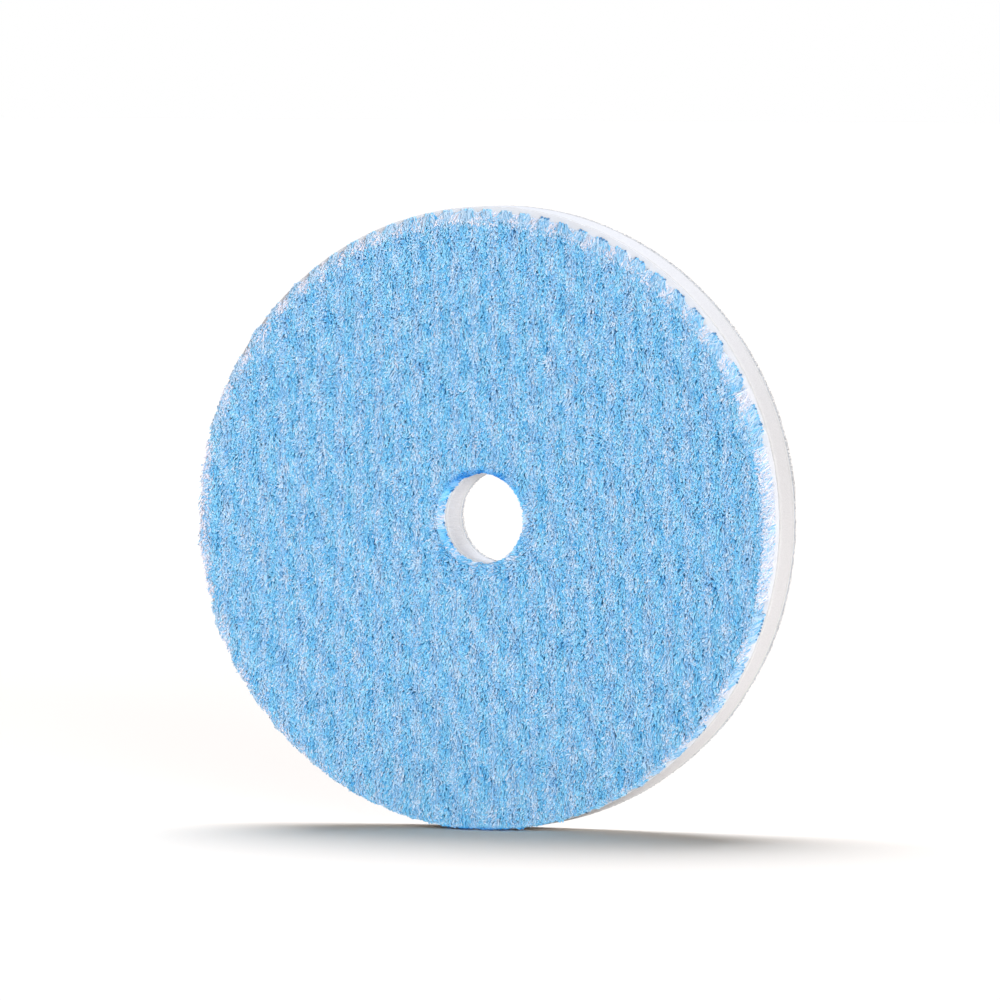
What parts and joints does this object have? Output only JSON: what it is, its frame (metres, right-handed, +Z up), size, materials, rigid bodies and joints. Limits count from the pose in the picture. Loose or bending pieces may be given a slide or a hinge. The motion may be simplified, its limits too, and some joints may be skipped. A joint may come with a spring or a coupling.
{
  "type": "polishing pad",
  "caption": "Round microfibre polishing pad: blue and white knitted pile on a white foam disc with a centre hole and a hook-and-loop back.",
  "frame": {"origin": "centre of the centre hole at the face of the loop nap, where the machine's plate touches", "axes": "the pad stands on its rim: +Z up, +Y along the pad's axis towards the machine, and the pile faces -Y; the rows of yarn run along Z"},
  "size_m": [0.15, 0.0184, 0.15],
  "materials": {
    "blue_microfibre": "matte",
    "white_microfibre": "matte",
    "backing_knit": "matte",
    "white_foam": "matte",
    "adhesive": "satin",
    "loop_knit": "matte",
    "loop_nylon": "matte"
  },
  "bodies": {
    "root": {"loop_nap": "loop_nylon", "loop_ground_cloth": "loop_knit", "rear_adhesive_film": "adhesive", "foam_core": "white_foam", "front_adhesive_film": "adhesive", "pile_backing_cloth": "backing_knit", "blue_yarn_rows_00": "blue_microfibre", "blue_yarn_rows_01": "blue_microfibre", "blue_yarn_rows_02": "blue_microfibre", "blue_yarn_rows_03": "blue_microfibre", "blue_yarn_rows_04": "blue_microfibre", "blue_yarn_rows_05": "blue_microfibre", "blue_yarn_rows_06": "blue_microfibre", "blue_yarn_rows_07": "blue_microfibre", "blue_yarn_rows_08": "blue_microfibre", "blue_yarn_rows_09": "blue_microfibre", "blue_yarn_rows_10": "blue_microfibre", "blue_yarn_rows_11": "blue_microfibre", "blue_yarn_rows_12": "blue_microfibre", "blue_yarn_rows_13": "blue_microfibre", "blue_yarn_rows_14": "blue_microfibre", "white_yarn_rows_00": "white_microfibre", "white_yarn_rows_01": "white_microfibre", "white_yarn_rows_02": "white_microfibre", "white_yarn_rows_03": "white_microfibre", "white_yarn_rows_04": "white_microfibre", "white_yarn_rows_05": "white_microfibre", "white_yarn_rows_06": "white_microfibre", "white_yarn_rows_07": "white_microfibre", "white_yarn_rows_08": "white_microfibre", "white_yarn_rows_09": "white_microfibre", "white_yarn_rows_10": "white_microfibre", "white_yarn_rows_11": "white_microfibre", "white_yarn_rows_12": "white_microfibre", "white_yarn_rows_13": "white_microfibre", "white_yarn_rows_14": "white_microfibre"}
  },
  "joints": []
}
